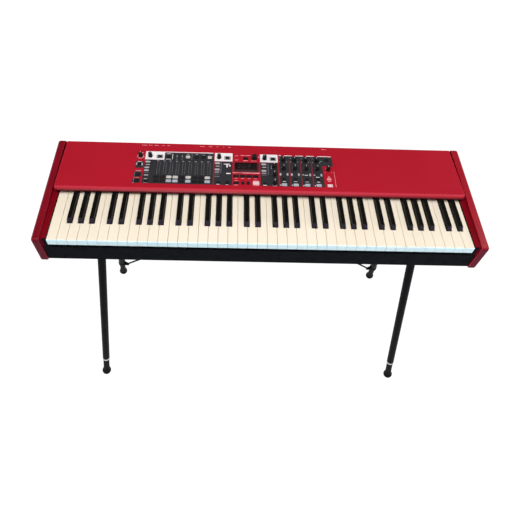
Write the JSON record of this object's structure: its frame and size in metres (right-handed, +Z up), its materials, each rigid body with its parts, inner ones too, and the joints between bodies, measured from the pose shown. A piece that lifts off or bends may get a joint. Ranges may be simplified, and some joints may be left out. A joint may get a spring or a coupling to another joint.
{
  "type": "stage piano",
  "caption": "Red stage piano with full-depth keys, a flat panel of knobs and buttons, and a splayed four-legged stand with braces.",
  "frame": {"origin": "on the floor, midway between the four feet and under the middle of the case", "axes": "+Z up, +X to the player's right, along the keyboard, +Y away from the player"},
  "size_m": [1.0806, 0.428, 0.7678],
  "materials": {
    "panel_red": "satin red lacquer with a fine grain",
    "cheek_red": "deep crimson lacquer",
    "case_black": "matt black powder coat",
    "rail_black": "black textured lacquer over board",
    "key_cream": "polished ivory-white key plastic",
    "key_black": "satin black key plastic",
    "frame_steel": "zinc-plated sheet",
    "board_green": "solder-masked circuit board",
    "button_grey": "moulded rubber caps",
    "knob_black": "soft-touch black",
    "window_dark": "smoked display window",
    "stand_black": "black powder coat",
    "foot_rubber": "matt black rubber",
    "switch_black": "glossy black"
  },
  "bodies": {
    "case_and_stand": {"bottom_pan": "case_black", "top_panel": "panel_red", "rear_panel": "panel_red", "left_cheek": "cheek_red", "right_cheek": "cheek_red", "key_slip": "rail_black", "key_frame": "frame_steel", "bass_naturals": "key_cream", "bass_sharps": "key_black", "treble_naturals": "key_cream", "treble_sharps": "key_black", "button_mat": "button_grey", "main_board": "board_green", "display_window": "window_dark", "left_stand_plate": "stand_black", "right_stand_plate": "stand_black", "front_left_leg": "stand_black", "front_right_leg": "stand_black", "rear_left_leg": "stand_black", "rear_right_leg": "stand_black", "left_brace": "stand_black", "right_brace": "stand_black", "brace_bracket": "stand_black"},
    "key_c": {"key_c": "key_cream"},
    "key_c_sharp": {"key_c_sharp": "key_black"},
    "key_d": {"key_d": "key_cream"},
    "key_d_sharp": {"key_d_sharp": "key_black"},
    "key_e": {"key_e": "key_cream"},
    "key_f": {"key_f": "key_cream"},
    "key_f_sharp": {"key_f_sharp": "key_black"},
    "key_g": {"key_g": "key_cream"},
    "key_g_sharp": {"key_g_sharp": "key_black"},
    "key_a": {"key_a": "key_cream"},
    "key_a_sharp": {"key_a_sharp": "key_black"},
    "key_b": {"key_b": "key_cream"},
    "master_level_knob": {"master_level_knob": "knob_black"},
    "organ_level_knob": {"organ_level_knob": "knob_black"},
    "piano_level_knob": {"piano_level_knob": "knob_black"},
    "synth_level_knob": {"synth_level_knob": "knob_black"},
    "synth_attack_knob": {"synth_attack_knob": "knob_black"},
    "synth_release_knob": {"synth_release_knob": "knob_black"},
    "synth_filter_knob": {"synth_filter_knob": "knob_black"},
    "effect_1_rate_knob": {"effect_1_rate_knob": "knob_black"},
    "effect_1_amount_knob": {"effect_1_amount_knob": "knob_black"},
    "effect_2_rate_knob": {"effect_2_rate_knob": "knob_black"},
    "effect_2_amount_knob": {"effect_2_amount_knob": "knob_black"},
    "effect_3_rate_knob": {"effect_3_rate_knob": "knob_black"},
    "effect_3_amount_knob": {"effect_3_amount_knob": "knob_black"},
    "effect_4_rate_knob": {"effect_4_rate_knob": "knob_black"},
    "effect_4_amount_knob": {"effect_4_amount_knob": "knob_black"},
    "reverb_knob": {"reverb_knob": "knob_black"},
    "program_dial": {"program_dial": "knob_black"},
    "organ_on_button": {"organ_on_button": "button_grey"},
    "piano_on_button": {"piano_on_button": "button_grey"},
    "synth_on_button": {"synth_on_button": "button_grey"},
    "power_switch": {"power_switch": "switch_black"},
    "front_left_foot": {"front_left_foot": "foot_rubber"},
    "front_right_foot": {"front_right_foot": "foot_rubber"},
    "rear_left_foot": {"rear_left_foot": "foot_rubber"},
    "rear_right_foot": {"rear_right_foot": "foot_rubber"}
  },
  "joints": [
    {"name": "key_c_press", "type": "hinge", "parent": "case_and_stand", "child": "key_c", "pos_m": [-0.047, 0.0915, 0.713], "axis": [1, 0, 0], "range_deg": [0, 2.3], "stiffness_Nm_per_rad": 2, "springref_deg": -6.3},
    {"name": "key_c_sharp_press", "type": "hinge", "parent": "case_and_stand", "child": "key_c_sharp", "pos_m": [-0.03725, 0.0915, 0.713], "axis": [1, 0, 0], "range_deg": [0, 2.3], "stiffness_Nm_per_rad": 2, "springref_deg": -6.3},
    {"name": "key_d_press", "type": "hinge", "parent": "case_and_stand", "child": "key_d", "pos_m": [-0.0235, 0.0915, 0.713], "axis": [1, 0, 0], "range_deg": [0, 2.3], "stiffness_Nm_per_rad": 2, "springref_deg": -6.3},
    {"name": "key_d_sharp_press", "type": "hinge", "parent": "case_and_stand", "child": "key_d_sharp", "pos_m": [-0.00975, 0.0915, 0.713], "axis": [1, 0, 0], "range_deg": [0, 2.3], "stiffness_Nm_per_rad": 2, "springref_deg": -6.3},
    {"name": "key_e_press", "type": "hinge", "parent": "case_and_stand", "child": "key_e", "pos_m": [0, 0.0915, 0.713], "axis": [1, 0, 0], "range_deg": [0, 2.3], "stiffness_Nm_per_rad": 2, "springref_deg": -6.3},
    {"name": "key_f_press", "type": "hinge", "parent": "case_and_stand", "child": "key_f", "pos_m": [0.0235, 0.0915, 0.713], "axis": [1, 0, 0], "range_deg": [0, 2.3], "stiffness_Nm_per_rad": 2, "springref_deg": -6.3},
    {"name": "key_f_sharp_press", "type": "hinge", "parent": "case_and_stand", "child": "key_f_sharp", "pos_m": [0.03235, 0.0915, 0.713], "axis": [1, 0, 0], "range_deg": [0, 2.3], "stiffness_Nm_per_rad": 2, "springref_deg": -6.3},
    {"name": "key_g_press", "type": "hinge", "parent": "case_and_stand", "child": "key_g", "pos_m": [0.047, 0.0915, 0.713], "axis": [1, 0, 0], "range_deg": [0, 2.3], "stiffness_Nm_per_rad": 2, "springref_deg": -6.3},
    {"name": "key_g_sharp_press", "type": "hinge", "parent": "case_and_stand", "child": "key_g_sharp", "pos_m": [0.05875, 0.0915, 0.713], "axis": [1, 0, 0], "range_deg": [0, 2.3], "stiffness_Nm_per_rad": 2, "springref_deg": -6.3},
    {"name": "key_a_press", "type": "hinge", "parent": "case_and_stand", "child": "key_a", "pos_m": [0.0705, 0.0915, 0.713], "axis": [1, 0, 0], "range_deg": [0, 2.3], "stiffness_Nm_per_rad": 2, "springref_deg": -6.3},
    {"name": "key_a_sharp_press", "type": "hinge", "parent": "case_and_stand", "child": "key_a_sharp", "pos_m": [0.08515, 0.0915, 0.713], "axis": [1, 0, 0], "range_deg": [0, 2.3], "stiffness_Nm_per_rad": 2, "springref_deg": -6.3},
    {"name": "key_b_press", "type": "hinge", "parent": "case_and_stand", "child": "key_b", "pos_m": [0.094, 0.0915, 0.713], "axis": [1, 0, 0], "range_deg": [0, 2.3], "stiffness_Nm_per_rad": 2, "springref_deg": -6.3},
    {"name": "master_level_knob_turn", "type": "hinge", "parent": "case_and_stand", "child": "master_level_knob", "pos_m": [-0.3149, 0.106, 0.7545], "axis": [0, 0, 1], "range_deg": [-150, 150]},
    {"name": "organ_level_knob_turn", "type": "hinge", "parent": "case_and_stand", "child": "organ_level_knob", "pos_m": [-0.2896, 0.106, 0.7545], "axis": [0, 0, 1], "range_deg": [-150, 150]},
    {"name": "piano_level_knob_turn", "type": "hinge", "parent": "case_and_stand", "child": "piano_level_knob", "pos_m": [-0.1095, 0.106, 0.7545], "axis": [0, 0, 1], "range_deg": [-150, 150]},
    {"name": "synth_level_knob_turn", "type": "hinge", "parent": "case_and_stand", "child": "synth_level_knob", "pos_m": [0.0102, 0.106, 0.7545], "axis": [0, 0, 1], "range_deg": [-150, 150]},
    {"name": "synth_attack_knob_turn", "type": "hinge", "parent": "case_and_stand", "child": "synth_attack_knob", "pos_m": [0.034, 0.076, 0.7545], "axis": [0, 0, 1], "range_deg": [-150, 150]},
    {"name": "synth_release_knob_turn", "type": "hinge", "parent": "case_and_stand", "child": "synth_release_knob", "pos_m": [0.034, 0.048, 0.7545], "axis": [0, 0, 1], "range_deg": [-150, 150]},
    {"name": "synth_filter_knob_turn", "type": "hinge", "parent": "case_and_stand", "child": "synth_filter_knob", "pos_m": [0.034, 0.02, 0.7545], "axis": [0, 0, 1], "range_deg": [-150, 150]},
    {"name": "effect_1_rate_knob_turn", "type": "hinge", "parent": "case_and_stand", "child": "effect_1_rate_knob", "pos_m": [0.0588, 0.1, 0.7545], "axis": [0, 0, 1], "range_deg": [-150, 150]},
    {"name": "effect_1_amount_knob_turn", "type": "hinge", "parent": "case_and_stand", "child": "effect_1_amount_knob", "pos_m": [0.0588, 0.071, 0.7545], "axis": [0, 0, 1], "range_deg": [-150, 150]},
    {"name": "effect_2_rate_knob_turn", "type": "hinge", "parent": "case_and_stand", "child": "effect_2_rate_knob", "pos_m": [0.0881, 0.1, 0.7545], "axis": [0, 0, 1], "range_deg": [-150, 150]},
    {"name": "effect_2_amount_knob_turn", "type": "hinge", "parent": "case_and_stand", "child": "effect_2_amount_knob", "pos_m": [0.0881, 0.071, 0.7545], "axis": [0, 0, 1], "range_deg": [-150, 150]},
    {"name": "effect_3_rate_knob_turn", "type": "hinge", "parent": "case_and_stand", "child": "effect_3_rate_knob", "pos_m": [0.1174, 0.1, 0.7545], "axis": [0, 0, 1], "range_deg": [-150, 150]},
    {"name": "effect_3_amount_knob_turn", "type": "hinge", "parent": "case_and_stand", "child": "effect_3_amount_knob", "pos_m": [0.1174, 0.071, 0.7545], "axis": [0, 0, 1], "range_deg": [-150, 150]},
    {"name": "effect_4_rate_knob_turn", "type": "hinge", "parent": "case_and_stand", "child": "effect_4_rate_knob", "pos_m": [0.1467, 0.1, 0.7545], "axis": [0, 0, 1], "range_deg": [-150, 150]},
    {"name": "effect_4_amount_knob_turn", "type": "hinge", "parent": "case_and_stand", "child": "effect_4_amount_knob", "pos_m": [0.1467, 0.071, 0.7545], "axis": [0, 0, 1], "range_deg": [-150, 150]},
    {"name": "reverb_knob_turn", "type": "hinge", "parent": "case_and_stand", "child": "reverb_knob", "pos_m": [0.175, 0.071, 0.7545], "axis": [0, 0, 1], "range_deg": [-150, 150]},
    {"name": "program_dial_turn", "type": "hinge", "parent": "case_and_stand", "child": "program_dial", "pos_m": [-0.0166, 0.106, 0.7545], "axis": [0, 0, 1], "continuous": true},
    {"name": "organ_on_button_press", "type": "slide", "parent": "case_and_stand", "child": "organ_on_button", "axis": [0, 0, -1], "range_m": [0, 0.0007], "stiffness_N_per_m": 300, "springref_m": -0.001},
    {"name": "piano_on_button_press", "type": "slide", "parent": "case_and_stand", "child": "piano_on_button", "axis": [0, 0, -1], "range_m": [0, 0.0007], "stiffness_N_per_m": 300, "springref_m": -0.001},
    {"name": "synth_on_button_press", "type": "slide", "parent": "case_and_stand", "child": "synth_on_button", "axis": [0, 0, -1], "range_m": [0, 0.0007], "stiffness_N_per_m": 300, "springref_m": -0.001},
    {"name": "power_switch_rock", "type": "hinge", "parent": "case_and_stand", "child": "power_switch", "pos_m": [0.415, 0.156, 0.7], "axis": [-1, 0, 0], "range_deg": [0, 16]},
    {"name": "front_left_foot_slide", "type": "slide", "parent": "case_and_stand", "child": "front_left_foot", "axis": [-0.1253, -0.1902, -0.9737], "range_m": [0, 0.02]},
    {"name": "front_right_foot_slide", "type": "slide", "parent": "case_and_stand", "child": "front_right_foot", "axis": [0.1253, -0.1902, -0.9737], "range_m": [0, 0.02]},
    {"name": "rear_left_foot_slide", "type": "slide", "parent": "case_and_stand", "child": "rear_left_foot", "axis": [-0.1253, 0.1902, -0.9737], "range_m": [0, 0.02]},
    {"name": "rear_right_foot_slide", "type": "slide", "parent": "case_and_stand", "child": "rear_right_foot", "axis": [0.1253, 0.1902, -0.9737], "range_m": [0, 0.02]}
  ]
}
